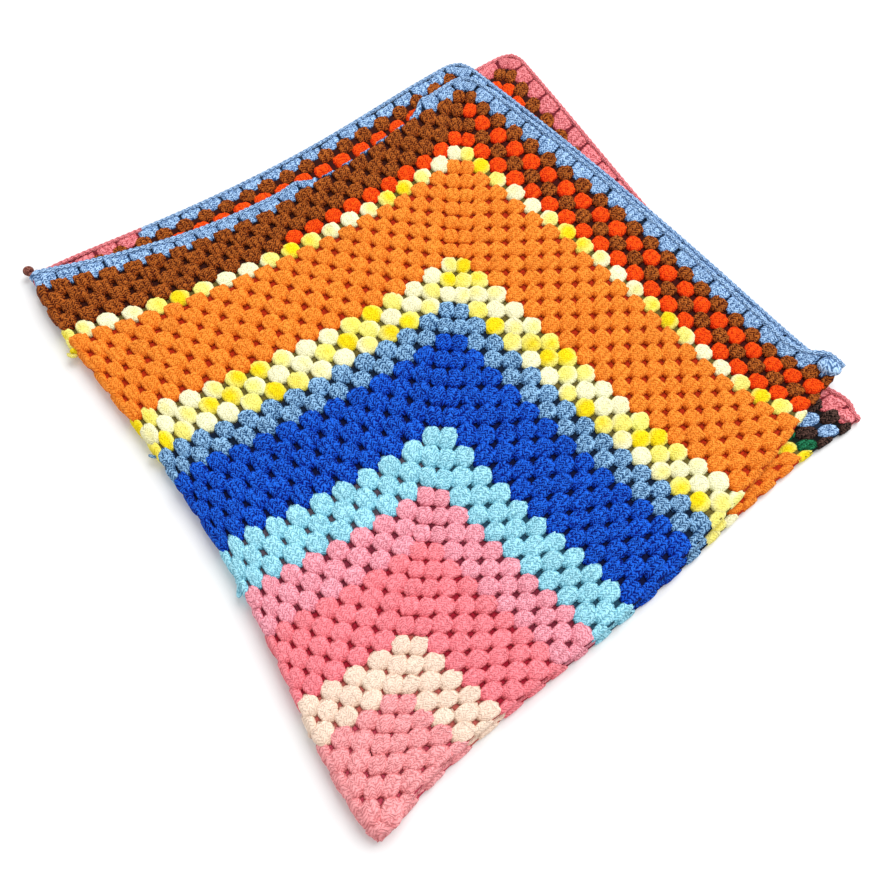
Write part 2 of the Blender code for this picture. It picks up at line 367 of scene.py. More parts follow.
def smooth_step(low, high, value):
    """0 below low, 1 above high, and a smooth rise between them."""
    share = np.clip((value - low) / (high - low), 0.0, 1.0)
    return share * share * (3 - 2 * share)


def bell(distance, width):
    """1 at no distance, falling off smoothly over the width: e to minus the ratio squared."""
    return np.exp(-((distance / width) ** 2))


def slack(given, outwards, along):
    """A smooth shift of the rounds around one distance, dying out along the round."""
    bump = bell(outwards - given.around * MM, given.width * MM)
    return given.shift * MM * bump * (1 - smooth_step(given.full * MM, given.none * MM, along))


def creep(p, q):
    """How far the point (p, q) of the blanket lies from its place in a true quarter square."""
    s, t = np.abs(p) / SIDE, np.abs(q) / SIDE
    far, near = t**2, (1 - t**2) ** 2
    dx = across_rows(TOP_LAYER_X, s, t) + slack(SLACK_X, np.abs(p), np.abs(q))
    dy = across_rows(TOP_LAYER_Y, s, t) + slack(SLACK_Y, np.abs(q), np.abs(p))
    second, lower = (p > 0) & (q < 0), p < 0
    for share, row_x, row_y, along in (
        ((p > 0) * bell(q, TURN_WIDTH), TURN_X, TURN_Y, s),
        (bell(p, SECOND_FOLD_WIDTH), SECOND_FOLD_X, SECOND_FOLD_Y, t),
        (second * s**2, SECOND_EDGE_X, NONE, t),
        (second * far, NONE, SECOND_FAR_Y, s),
        (lower * far, THIRD_FAR_X, THIRD_FAR_Y, s),
        (lower * near, LOWER_NEAR_X, LOWER_NEAR_Y, s),
        (lower * s**2, THIRD_EDGE_X, NONE, t),
    ):
        dx, dy = dx + share * along_row(row_x, along), dy + share * along_row(row_y, along)
    inset = lower * (q > 0) * FOURTH_INSET * s * t
    lift = np.zeros_like(s)
    for tip in TIPS:
        distance = np.hypot(HALF - np.abs(p), q - tip.along * MM)
        share = (p * tip.side > 0) * bell(distance, tip.size * MM)
        dx, dy = dx + share * tip.x * MM, dy + share * tip.y * MM
        lift = lift + share * tip.lift * MM
    for pull in PULLS:
        share = bell(np.hypot(p - pull.p * MM, q - pull.q * MM), pull.size * MM)
        dx, dy = dx + share * pull.x * MM, dy + share * pull.y * MM
    return dx - inset, dy - inset, lift


def turned_width(p):
    """Width of the far edge of the top layer that is turned under at p."""
    rising = smooth_step(TUCK_START, TUCK_FULL, p)
    falling = 1 - smooth_step(TUCK_LAST, TUCK_END, p)
    return TUCK_DEPTH * rising * falling


def first_fold(p, q, side):
    """Profile of the first fold: distance from it and height in the two-layer stack.

    A half circle of radius FOLD_ONE + side round the fold, straight lines on both sides of
    it, and a second, smaller half circle where the far edge is turned under.
    """
    angle = np.clip(q / TURN_ONE, -1, 1) * np.pi / 2
    radius = FOLD_ONE + side
    straight = np.maximum(np.abs(q) - TURN_ONE, 0.0)
    away = np.where(straight > 0, TURN_ONE + straight, TURN_ONE - radius * np.cos(angle))
    height = radius * np.sin(angle)

    width = turned_width(p) * (q > 0)
    turn = np.clip((q - (HALF - width)) / TUCK_RADIUS, 0.0, np.pi)
    edge_turn = np.clip(width / TUCK_RADIUS, 0.0, np.pi)
    past = np.maximum(q - (HALF - width) - np.pi * TUCK_RADIUS, 0.0)
    lift = TUCK_RADIUS * (1 - np.cos(edge_turn))
    lift = lift * bell(np.maximum(HALF - width - q, 0.0), TUCK_RUN)
    turning = (turn > 0) & (width > 0)
    turned_away = HALF - width + (TUCK_RADIUS + side) * np.sin(turn) - past
    turned_height = FOLD_ONE - TUCK_RADIUS + (TUCK_RADIUS + side) * np.cos(turn)
    away = np.where(turning, turned_away, away)
    height = np.where(turning, turned_height, height)
    return away, height + lift * (q > 0)


def round_corners(p, q):
    """Draw the blanket's four square corners in to quarter circles."""
    start = HALF - CORNER
    u = np.clip((np.abs(p) - start) / CORNER, 0, 1.2)
    v = np.clip((np.abs(q) - start) / CORNER, 0, 1.2)
    in_p = CORNER * u * (1 - np.sqrt(1 - v**2 / 2))
    in_q = CORNER * v * (1 - np.sqrt(1 - u**2 / 2))
    return p - np.sign(p) * in_p, q - np.sign(q) * in_q


def folded(p, q, side):
    """The point (p, q) of the blanket carried round both folds and crept to its place."""
    p, q = round_corners(p, q)
    away, height = first_fold(p, q, side)
    angle = np.clip(p / TURN_TWO, -1, 1) * np.pi / 2
    radius = FOLD_TWO + height
    straight = np.maximum(np.abs(p) - TURN_TWO, 0.0)
    across = TURN_TWO + straight - radius * np.cos(angle) * (straight <= 0)
    dx, dy, lift = creep(p, q)
    x, y = across + dx, away + dy
    z = CENTRE_HEIGHT + radius * np.sin(angle)
    swell = sum(np.sin(2 * np.pi * (w.across * x + w.along * y + w.phase)) for w in WAVES)
    return np.stack([x, y, z * (1 + SWELL * swell / len(WAVES)) + lift], axis=-1)


# What brings the folded cloth, from its centre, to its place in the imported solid's box
LOW_CORNER = np.array(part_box("blanket")[0])
SHIFT = LOW_CORNER + np.array([CENTRE_X, CENTRE_Y, 0.0])


def kept_up(points):
    """The same points, none of them lower than LOWEST."""
    return np.maximum(points, [-np.inf, -np.inf, LOWEST])


def place(p, q, side):
    """Where the point (p, q) lies in the frame, side metres out from the cloth's middle."""
    return kept_up(folded(p, q, side) + SHIFT)


def yarn_colours():
    """The scene's yarn colours as one array, in the order of YARNS."""
    own = bpy.context.scene.blanket_yarns
    return np.array([list(getattr(own, name)) for name in NAMES])


def shaded_yellow(clusters, bright_at, palette, rim):
    """Cream, pale and bright yellow in turn along the yarn: bright where the distance from
    the nearest bright stretch is short, cream where it is long, and paler towards the rim."""
    away = np.abs((clusters - bright_at + SHADE_RUN / 2) % SHADE_RUN - SHADE_RUN / 2)
    away = away + 1.4 * rim
    bright, pale, cream = (
        palette[NAMES.index(name)] for name in ("bright_yellow", "pale_yellow", "cream")
    )
    first = smooth_step(0.5, 1.2, away)[..., None]
    second = smooth_step(1.4, 2.3, away)[..., None]
    return bright * (1 - first) + pale * (first - second) + cream * second


def which_side(p, q):
    """Whether each point lies on the far, right, near or left side of the square."""
    steep = np.abs(q) >= np.abs(p)
    return steep & (q > 0), ~steep & (p > 0), steep & (q < 0), ~steep & (p < 0)


def stitch_colours(rounds, p, q, spread=0.0, rim=0.0):
    """Colour, contrast, bulk, width, roundness of the corners and colour of the openings, in
    painted shade, of the stitches of given rounds at (p, q), in rounds.

    spread holds how far other points of the stitch lie along its round, in clusters, and
    rim how near they are to its outline, from 0 to 1. The colours then have a value for
    each, because the shaded yellow changes inside a cluster.
    """
    palette = yarn_colours()
    far, right, near, left = which_side(p, q)
    which = np.zeros(len(rounds), dtype=int)
    for band in BANDS:
        which[(rounds >= band.first) & (rounds <= band.last)] = NAMES.index(band.yarn)

    def paint(mask, name):
        which[mask] = NAMES.index(name)

    by_fold = left & (np.abs(q) < DARK_TO)
    blue = far | right | (near & (p > PINK_TO))
    paint((rounds == 40) & (~far | (p > RED_FROM)), "red")
    paint((rounds == 42) & ~far, "red")
    paint((rounds == 40) & by_fold, "green")
    paint(((rounds == 41) | (rounds == 43)) & by_fold, "black_brown")
    paint((rounds == 42) & by_fold, "border_blue")
    paint((rounds == 44) & blue, "border_blue")
    paint((rounds == 44) & ~blue, "border_pink")
    clusters = np.select([far, right, near], [p / 2, rounds - q / 2, 2 * rounds - p / 2],
                         3 * rounds + q / 2 + LEFT_SLIP)
    clusters = clusters[:, None] + spread
    colours = palette[which][:, None] + np.zeros_like(clusters)[..., None]
    for stretch in SHADED:
        mask = rounds == stretch.round
        which[mask] = NAMES.index("pale_yellow")
        colours[mask] = shaded_yellow(clusters[mask], stretch.bright_at, palette, rim)
    contrast, bulk, wide, corner = np.array([own[3:7] for own in YARNS]).T[:, which]
    merged = far & (which == NAMES.index("brown"))
    bulk, corner = np.where(merged, MERGED_BULK, bulk), np.where(merged, MERGED_CORNER, corner)
    # The openings are painted in the shade of the yarn below them
    openings = np.array([linear(*own.openings) for own in YARNS])[which]
    openings[far & (which == NAMES.index("sky"))] = linear(*SKY_FAR_OPENING_SHADE)
    return colours, contrast, bulk, wide, corner, openings


def grid_quads(index):
    """Quads of a grid of numbered points, facing its third direction."""
    corners = [index[:-1, :-1], index[1:, :-1], index[1:, 1:], index[:-1, 1:]]
    return np.stack(corners, axis=-1).reshape(-1, 4)


def boundary(index):
    """The outer points of such a grid, in order round it."""
    return np.concatenate([index[:-1, 0], index[-1, :-1], index[:0:-1, -1], index[0, :0:-1]])


def make_mesh(name, points, faces, vectors=None, colours=None, contrast=None):
    """A smooth mesh from an array of points and a list of arrays of faces."""
    mesh = bpy.data.meshes.new(name)
    mesh.from_pydata(points, [], [corners for own in faces for corners in own.tolist()])
    mesh.validate()
    mesh.shade_smooth()
    if colours is not None:
        attribute = mesh.color_attributes.new("yarn_colour", "FLOAT_COLOR", "POINT")
        full = np.pad(colours, ((0, 0), (0, 1)), constant_values=1.0)
        attribute.data.foreach_set("color", full.astype(np.float32).ravel())
    for key, kind, field, values in (
        ("along_yarn", "FLOAT_VECTOR", "vector", vectors),
        ("contrast", "FLOAT", "value", contrast),
    ):
        if values is not None:
            attribute = mesh.attributes.new(key, kind, "POINT")
            attribute.data.foreach_set(field, values.astype(np.float32).ravel())
    return mesh


def new_object(name, data):
    """An object of that name in the scene, in place of any earlier one."""
    old = bpy.data.objects.get(name)
    if old is not None:
        bpy.data.objects.remove(old, do_unlink=True)
    made = bpy.data.objects.new(name, data)
    bpy.context.scene.collection.objects.link(made)
    return made


def new_piece(name, mesh, material):
    """A piece of the blanket: it rides on the root and takes the yarn's finish."""
    mesh.materials.append(material)
    piece = new_object(name, mesh)
    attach(piece, "root")
    return piece


class Value:
    """A number that varies over a surface; expressions on it add Math nodes."""

    def __init__(self, shading, socket):
        self.shading = shading
        self.socket = socket

    def math(self, operation, *others):
        return self.shading.node("ShaderNodeMath", {"operation": operation}, self, *others)

    def __add__(self, other):
        return self.math("ADD", other)

    __radd__ = __add__

    def __sub__(self, other):
        return self.math("SUBTRACT", other)

    def __rsub__(self, other):
        return self.shading.node("ShaderNodeMath", {"operation": "SUBTRACT"}, other, self)

    def __mul__(self, other):
        return self.math("MULTIPLY", other)

    __rmul__ = __mul__


class Shading:
    """A material's nodes."""

    def __init__(self, name):
        self.material = bpy.data.materials.new(name)
        self.material.use_nodes = True
        self.tree = self.material.node_tree
        self.tree.nodes.clear()

    def node(self, kind, settings, *values, output=0, **named):
        """A node of that type: its settings first, then its sockets, by order or by name.

        A name's underscores stand for spaces. A value is a number, a colour or a Value, and
        None leaves its socket as it is.
        """
        made = self.tree.nodes.new(kind)
        for key, value in settings.items():
            setattr(made, key, value)
        sockets = {key.replace("_", " "): value for key, value in named.items()}
        for key, value in [*enumerate(values), *sockets.items()]:
            if isinstance(value, Value):
                self.tree.links.new(value.socket, made.inputs[key])
            elif value is not None:
                made.inputs[key].default_value = value
        return Value(self, made.outputs[output]) if made.outputs else None

    def attribute(self, name, output):
        return self.node("ShaderNodeAttribute", {"attribute_name": name}, output=output)

    def steps(self, value, low, high):
        """0 below low, 1 above high, and a smooth rise between."""
        settings = {"interpolation_type": "SMOOTHSTEP"}
        return self.node("ShaderNodeMapRange", settings, value, low, high, 0.0, 1.0)

    def noise(self, where, scale, detail, roughness=0.5):
        """Soft noise in three dimensions."""
        return self.node(
            "ShaderNodeTexNoise", {"noise_dimensions": "3D"},
            Vector=where, Scale=scale, Detail=detail, Roughness=roughness,
        )

    def axis(self, vector, number):
        return self.node("ShaderNodeSeparateXYZ", {}, vector, output=number)

    def mix(self, share, first, second, blend="MIX"):
        """Colours mixed by share. The node's two colour sockets come after five others."""
        settings = {"data_type": "RGBA", "blend_type": blend}
        return self.node("ShaderNodeMix", settings, share, *[None] * 5, first, second, output=2)

    def toned(self, colour, gamma, strength):
        """A colour raised to the power gamma, times strength."""
        raised = self.node("ShaderNodeGamma", {}, colour, gamma)
        return self.mix(1.0, raised, (strength, strength, strength, 1.0), "MULTIPLY")

    def finish(self, **sockets):
        """The Principled shader with those sockets, and the material's output."""
        shader = self.node("ShaderNodeBsdfPrincipled", {}, **sockets)
        self.node("ShaderNodeOutputMaterial", {}, shader)
        return self.material


def strand_height(shading, where, pitch, stir, slope):
    """Strands of yarn lying side by side: a sine of the distance along the posts, leaning
    one way and then the other across each post, and bent by a soft noise into loops. The
    second result is 1 in the line between two posts.

    pitch is the distance from strand to strand in millimetres, stir the bend in radians and
    slope the lean.
    """
    bend = shading.noise(where, 0.25, 3.0, 0.62)
    lean = (shading.axis(where, 0) + bend * 2.0).math("PINGPONG", 2.9)
    turns = (shading.axis(where, 1) + lean * slope) * (2 * np.pi / pitch) + bend * stir
    return turns.math("SINE") * 0.5 + 0.5, shading.steps(lean, 2.1, 2.9)


def yarn_material(name, pitch=2.6, stir=17.0, slope=0.9, ridge=6.2):
    """Matt yarn: its colour comes from the stitches, with painted highlight on the strands and
    on the chain and painted shade in the creases between the strands and between the posts,
    by each yarn's contrast, in soft patches and fine fibres.

    ridge is the height of the chain across the top of a cluster, in millimetres.
    """
    shading = Shading(name)
    where = shading.attribute("along_yarn", 1)
    colour = shading.attribute("yarn_colour", 0)
    contrast = shading.attribute("contrast", 2)
    strands, gap = strand_height(shading, where, pitch, stir, slope)
    patches = shading.noise(where, 0.36, 1.0)
    fibres = shading.noise(where, 1.2, 3.0, 0.6)
    chain = 1 - shading.steps((shading.axis(where, 1) - ridge).math("ABSOLUTE"), 0.5, 1.9)
    # Painted shade in the creases between the strands and in the line between the posts
    crease = ((1 - strands) * (1 - strands) + gap * 0.45) * (2.0 - 2.2 * patches)
    tone = shading.steps(
        patches * 0.60 + fibres * 0.70 + chain * 0.14 - crease * 0.60, 0.14, 0.84
    )
    # Lit and shaded copies of the yarn's colour: painted highlight on the strands and the chain, painted
    # shade in the creases, mixed in the yarn's own soft patches and fibres
    spread = shading.mix(
        tone, shading.toned(colour, 1.6, 0.42), shading.toned(colour, 0.66, 1.25)
    )
    height = (patches + fibres * 0.4 - crease) * (contrast * 0.6 + 0.5) + chain * 1.2
    bump = shading.node("ShaderNodeBump", {}, Strength=0.8, Distance=0.8 * MM, Height=height)
    return shading.finish(
        Base_Color=shading.mix(contrast, colour, spread), Roughness=0.98 - 0.08 * tone,
        Normal=bump, Specular_IOR_Level=0.12,
    )


def ground_material(name):
    """The shadowed yarn seen in the openings, with a coarse fibre grain."""
    shading = Shading(name)
    colour = shading.attribute("yarn_colour", 0)
    grain = shading.noise(shading.node("ShaderNodeTexCoord", {}, output=3), 700.0, 3.0, 0.6)
    shade = shading.mix(
        shading.steps(grain, 0.35, 0.7), shading.toned(colour, 1.0, 0.5), colour
    )
    bump = shading.node("ShaderNodeBump", {}, Strength=0.6, Distance=0.5 * MM, Height=grain)
    return shading.finish(Base_Color=shade, Roughness=0.97, Normal=bump, Specular_IOR_Level=0.2)


def cloth_lines(turn, half):
    """Lines of the ground's mesh in one direction: close together round the fold and where
    the edge is turned under, half a round apart elsewhere."""
    plain = np.arange(turn + 0.3 * ROUND, half - STRIP, ROUND / 2)
    outer = np.linspace(half - STRIP, half, 9)
    positive = np.concatenate([np.linspace(0, turn, 5)[1:], plain, outer])
    return np.concatenate([-positive[::-1], [0.0], positive])


def ground_mesh(name, thickness):
    """The ground, a sheet painted in the shade seen in the openings: two copies of the folded
    sheet, thickness apart and joined at the rim.

    In the top and bottom layers it lies GROUND_DROP inside the middle of the cloth, and
    the drop eases in over DROP_WIDTH from the first fold.
    """
    half = SIDE - GROUND_IN
    p, q = np.meshgrid(cloth_lines(TURN_TWO, half), cloth_lines(TURN_ONE, half), indexing="ij")
    middle = -GROUND_DROP * smooth_step(0, DROP_WIDTH, q)
    sheets = [place(p, q, middle + thickness / 2 * face).reshape(-1, 3) for face in (1, -1)]
    index = np.arange(p.size).reshape(p.shape)
    rim = boundary(index)
    after = np.roll(rim, -1)
    edge = np.stack([after, rim, rim + p.size, after + p.size], axis=-1)
    faces = [grid_quads(index), grid_quads(index + p.size)[:, ::-1], edge]
    p, q = p.ravel() / ROUND, q.ravel() / ROUND
    rounds = np.clip(np.ceil(np.maximum(np.abs(p), np.abs(q))), 1, ROUNDS).astype(int)
    # The ground takes the openings' colours, the yarn below in painted shade
    *_, openings = stitch_colours(rounds, p, q)
    return make_mesh(name, np.concatenate(sheets), faces, colours=np.tile(openings, (2, 1)))


def cluster_shape(sizes):
    """One cluster, as arrays over its mesh lines: across, up, its dome, what its posts and
    its ridge make of the dome, how much shade is painted at its rim and in its grooves, and
    how deep its foot lies behind the round below, where shade is painted too.

    Across (u) and up (v) go from -1 to 1, with a notch at both ends of each groove. The
    dome is 1 - |u|^3.4 times 1 - |v|^3. The face has a groove between each two of its
    posts, half of 1 - cos 3 pi u, and a low ridge at v = 0.55, where the chain lies.
    """
    u, v = np.meshgrid(np.array(ACROSS), np.array(FOOT_TO_TOP), indexing="ij")
    groove = 0.5 - 0.5 * np.cos(3 * np.pi * u)
    dome = (1 - np.abs(u) ** 3.4) * (1 - np.abs(v) ** 3.0)
    ridge = 0.12 * bell(v - 0.55, 0.3)
    face = 1 - sizes.posts * groove * (1 - ridge * 4) + ridge
    # Painted shade: darker at the rim and in the grooves between the posts, and at the foot, where the
    # cluster lies behind the round below
    dark = 1 - np.clip(dome**0.5 * 1.3, 0, 1) + 0.25 * groove * (np.abs(v) < 0.9)
    foot = 3.0 * np.clip(-v - 0.1, 0, 1) ** 2
    v = v * (1 - 0.05 * groove * (np.abs(u) < 0.9))
    return (own.ravel() for own in (u, v, dome, face, dark, foot))


def cluster_places(side):
    """Every cluster of one side of the square: its round, its middle along the side and out
    from the centre, in rounds, its turn in radians and whether it is the last at its end.

    Round r has r clusters, two rounds apart, their middles half a round inside it. The last
    one at each end leans out to the corner, where two clusters share one opening. Where the
    far edge is turned under, the border's clusters go under with it, and the last rounds
    of the second layer's far edge stand closer together.
    """
    rounds = np.concatenate([np.full(r, r) for r in range(1, ROUNDS + 1)])
    along = np.concatenate([np.arange(r) * 2 - r + 1.0 for r in range(1, ROUNDS + 1)])
    border = rounds == ROUNDS
    out = rounds - 0.5
    if side == 0:
        out = out + border * BORDER_OUT * turned_width(along * ROUND) / TUCK_DEPTH
    if side == 2:
        share = np.clip((rounds - PUSH_START) / (PUSH_FULL - PUSH_START), 0, 1)
        out = out + (along < 0) * share * np.where(border, PUSH_BORDER, PUSH)
    last = (np.abs(along) == rounds - 1) & (rounds > 1)
    outwards = last * np.sign(along)
    out = out + last * LAST_OUT - border * BORDER_IN
    return rounds, along - outwards * LAST_IN, out, -outwards * LAST_TURN, last


def turned_to(side, along, out):
    """Cloth coordinates on a side of the square: 0 far, 1 right, 2 near, 3 left."""
    return ((along, out), (out, -along), (-along, -out), (-out, along))[side]


def cluster_faces(flipped):
    """Faces of the clusters: each a grid, closed by a cone to the point behind it, which is
    its last. The flipped ones face the other way."""
    index = np.arange(len(ACROSS) * len(FOOT_TO_TOP)).reshape(len(ACROSS), -1)
    rim = boundary(index)
    cone = np.stack([np.roll(rim, -1), rim, np.full(len(rim), index.size)], axis=-1)
    first = (np.arange(len(flipped)) * (index.size + 1))[:, None, None]
    faces = []
    for shape in (grid_quads(index), cone):
        turned = np.where(flipped[:, None, None], shape[:, ::-1], shape)
        faces.append((turned + first).reshape(-1, shape.shape[1]))
    return faces


def cluster_mesh(name, side, sizes):
    """The clusters of one side of the square, joined.

    Each is a domed face closed by a shallow cone behind, turned to its side, laid on the
    cloth and carried into the folds. With c for the roundness of its yarn's corners, its
    outline is a rounded square, a little wider or narrower towards the top:

        x = u times the root of 1 - c v^2, times 1 + (0.22 - 0.40 c) v
        y = v times the root of 1 - c u^2

    The border's clusters are much wider at the top, like teeth, and reach under the edging.
    The face is the dome to the power 0.20 + 0.75 c, flatter on squarer clusters. Its colour
    goes to the power 1 + 1.2 d and is multiplied by 1 - 0.5 d, where d is the shade painted
    at its rim, in its grooves and at its foot, which makes it darker and deeper in colour.
    """
    rng = np.random.default_rng([sizes.seed, side])
    rounds, along, out, turn, last = cluster_places(side)
    count = len(rounds)
    p_middle, q_middle = turned_to(side, along, out)
    u, v, dome, face, dark, foot = cluster_shape(sizes)
    spread = np.append(u, 0.0) * 0.9 * sizes.width / (4 * ROUND)
    rim = np.append((u**2 + v**2) / 2, 1.0)
    colours, contrast, bulk, wide, corner, _ = stitch_colours(
        rounds, p_middle, q_middle, spread, rim
    )
    corner = np.where(last, LAST_CORNER, corner)[:, None]
    bulk = bulk * rng.normal(1, STRAY.bulk, count)
    border = rounds == ROUNDS
    wide = np.where(last, LAST_WIDE, wide) * np.where(border, BORDER_WIDE, 1.0)
    tall = rng.normal(1, STRAY.tall, count) * np.where(border, BORDER_TALL, 1.0)
    tall = tall * np.where(border & (side == 2) & (p_middle > 0), NEAR_TALL, 1.0)
    tooth = border[:, None] * v
    above = np.maximum(tooth, 0)
    x = u * np.sqrt(1 - corner * v**2) * (1 + (0.22 - 0.40 * corner) * v + 0.24 * tooth)
    y = v * np.sqrt(1 - corner * u**2 * (1 - above)) * (1 + 0.25 * above)
    x = x * (sizes.width / 2 * bulk * wide)[:, None]
    y = y * (sizes.height / 2 * bulk * tall)[:, None]
    x = x + rng.normal(0, sizes.uneven, x.shape)
    y = y + rng.normal(0, sizes.uneven, y.shape)
    lean = turn + rng.normal(0, STRAY.turn, count)
    cos, sin = np.cos(lean)[:, None], np.sin(lean)[:, None]
    a = (along * ROUND + rng.normal(0, STRAY.along, count))[:, None] + x * cos - y * sin
    b = (out * ROUND + rng.normal(0, STRAY.out, count))[:, None] + x * sin + y * cos
    p, q = turned_to(side, a, b)

    # Height of the face: full on top, low where layers lie on one another
    top, second = (q_middle > 0) & (p_middle > 0), (q_middle < 0) & (p_middle > 0)
    outer = np.where(rounds >= ROUNDS - 2, OUTER_RELIEF, INNER_RELIEF)
    relief = np.where(top, sizes.relief, outer)
    relief = np.where((q_middle > 0) & (p_middle < 0), FOURTH_RELIEF, relief)
    relief = relief * np.where(border, BORDER_RELIEF, 1.0)
    relief = relief * bulk * rng.normal(1, STRAY.relief, count)
    facing = np.where(second, -1.0, 1.0)[:, None]
    lumps = 1 + rng.normal(0, STRAY.lumps, (count, len(face)))
    height = relief[:, None] * face * dome ** (0.20 + 0.75 * corner) * lumps * facing
    height = np.append(height, -facing * BEHIND, axis=1)
    p, q = (np.append(own, own.mean(axis=1, keepdims=True), axis=1) for own in (p, q))
    points = place(p, q, height).reshape(-1, 3)

    tint = colours * rng.normal(1, STRAY.tint, (count, 1, 1))
    # Painted shade at the rim, in the grooves and at the foot: darker and deeper in colour
    dark = np.append(dark, 1.0) * (0.05 + 0.30 * contrast[:, None])
    dark = (dark + 0.12 * np.append(foot, 0.0))[..., None]
    tint_and_shade = (np.clip(tint, 0, 1) ** (1 + 1.2 * dark) * (1 - 0.5 * dark)).reshape(-1, 3)
    middle = np.zeros((count, 1))
    local = np.stack([
        np.append(x, middle, axis=1) / MM, np.append(y, middle, axis=1) / MM,
        rng.uniform(0, 500, (count, 1)) + height / MM * 0.5,
    ], axis=-1).reshape(-1, 3)
    faces = cluster_faces(second)
    return make_mesh(name, points, faces, local, tint_and_shade, np.repeat(contrast, p.shape[1]))


def rings(path, normal, wide, high):
    """Rings of points round a path, in the plane of the normal and the cross product of the
    path's direction with it. wide and high are the half sizes across the normal and along
    it, with a row for each ring and a column for each of its points."""
    forward = np.gradient(path, axis=0)
    forward /= np.linalg.norm(forward, axis=1, keepdims=True)
    across = np.cross(forward, normal)
    across /= np.linalg.norm(across, axis=1, keepdims=True)
    up = np.cross(across, forward)
    angle = np.linspace(0, 2 * np.pi, wide.shape[1], endpoint=False)
    wide, high = (wide * np.cos(angle))[..., None], (high * np.sin(angle))[..., None]
    return path[:, None] + wide * across[:, None] + high * up[:, None]


def edge_path(step, inside):
    """Points round the blanket's free edge, the given distance inside it: cloth coordinates
    and the distance gone, starting at the far end of the right side."""
    reach = HALF - inside
    count = int(round(2 * reach / step))
    run = np.linspace(-reach, reach, count, endpoint=False)
    full = np.full(count, reach)
    p = np.concatenate([full, -run, -full, run])
    q = np.concatenate([run, full, -run, -full])
    return p, q, np.arange(4 * count) * 2 * reach / count


def edging_mesh(name, sizes):
    """The chain round the free edge: a tube whose circle swells and turns like two strands
    laid round each other, a little flatter than it is wide."""
    p, q, run = edge_path(CHAIN_STEP, CHAIN_IN)
    top, second = (p > 0) & (q > 0), (p > 0) & (q < 0)
    lower = np.where(second, CHAIN_SECOND, CHAIN_LOWER)
    path = place(p, q, np.where(top, CHAIN_TOP, lower))
    normal = place(p, q, CLOTH / 4) - place(p, q, -CLOTH / 4)
    angle = np.linspace(0, 2 * np.pi, CHAIN_SIDES, endpoint=False)[None, :]
    wave = np.cos(2 * angle + 2 * np.pi * run[:, None] / CHAIN_TURN)
    thick = sizes.chain * np.where(top, 1.0, CHAIN_THIN)
    thick = thick * np.where(second & (q < -SIDE), CHAIN_THINNER, 1.0)
    radius = thick[:, None] * (1 + 0.16 * wave) * (1 - 0.24 * np.sin(angle) ** 2)
    path, normal, radius = (
        np.concatenate([own[-2:], own, own[:2]]) for own in (path, normal, radius)
    )
    points = kept_up(rings(path, normal, radius, radius)[2:-2].reshape(-1, 3))
    index = np.arange(len(points)).reshape(-1, CHAIN_SIDES)
    quads = grid_quads(np.pad(index, ((0, 1), (0, 1)), mode="wrap"))
    rounds = np.full(len(run), ROUNDS)
    colours, contrast, *_ = stitch_colours(rounds, p / ROUND, q / ROUND)
    # Painted shade and light: darker in the grooves where the two strands turn round each other, lighter
    # on their crowns
    colours = np.clip(colours * (1.0 + 0.10 * wave)[..., None], 0, 1)
    round_it = (np.pi - np.abs(angle - np.pi)) * sizes.chain / MM
    local = np.stack(np.broadcast_arrays(run[:, None] / MM, round_it, 0.0), axis=-1)
    return make_mesh(
        name, points, [quads], local.reshape(-1, 3), colours.reshape(-1, 3),
        np.repeat(contrast, CHAIN_SIDES),
    )


def closed_tube(path, wide, high):
    """Points and faces of a tube along a path whose first and last points close it."""
    sides = wide.shape[1]
    own = rings(path, (0.0, 0.0, 1.0), wide, high)[1:-1]
    points = kept_up(np.concatenate([own.reshape(-1, 3), path[:1], path[-1:]]))
    index = np.pad(np.arange(len(points) - 2).reshape(-1, sides), ((0, 0), (0, 1)), mode="wrap")
    first = np.full(sides, len(points) - 2)
    start = np.stack([index[0, :-1], index[0, 1:], first], axis=-1)
    end = np.stack([index[-1, 1:], index[-1, :-1], first + 1], axis=-1)
    return points, grid_quads(index), np.concatenate([start, end])


def end_shape(end):
    """A loose end: a curve (1-t)^2 start + 2t(1-t) bend + t^2 tip from its place on the
    fold, as thick as the root of one less the fourth power of 2t-1."""
    anchor = place(0.0, end.along * MM, END_OUT)
    t = (0.5 - 0.5 * np.cos(np.linspace(0, np.pi, 15)))[:, None]
    start, bend, tip = (np.array(point) * MM for point in (end.start, end.bend, end.tip))
    path = anchor + (1 - t) ** 2 * start + 2 * t * (1 - t) * bend + t**2 * tip
    thick = np.sqrt(1 - (2 * t - 1) ** 4) * np.full(END_SIDES, end.radius * MM)
    return path, thick, thick * 0.85


def knot_shape(knot):
    """A round end: an ellipsoid of the given half sizes."""
    anchor = place(knot.p * MM, knot.q * MM, KNOT_OUT)
    turn = np.radians(knot.turn)
    step = np.cos(np.linspace(0, np.pi, 13))[:, None]
    along = np.array([np.cos(turn), np.sin(turn), 0.0])
    path = anchor + np.array([knot.x, knot.y, 0.0]) * MM - step * along * knot.length * MM
    thick = np.sqrt(1 - step**2) * np.full(END_SIDES, MM)
    return path, thick * knot.width, thick * knot.height


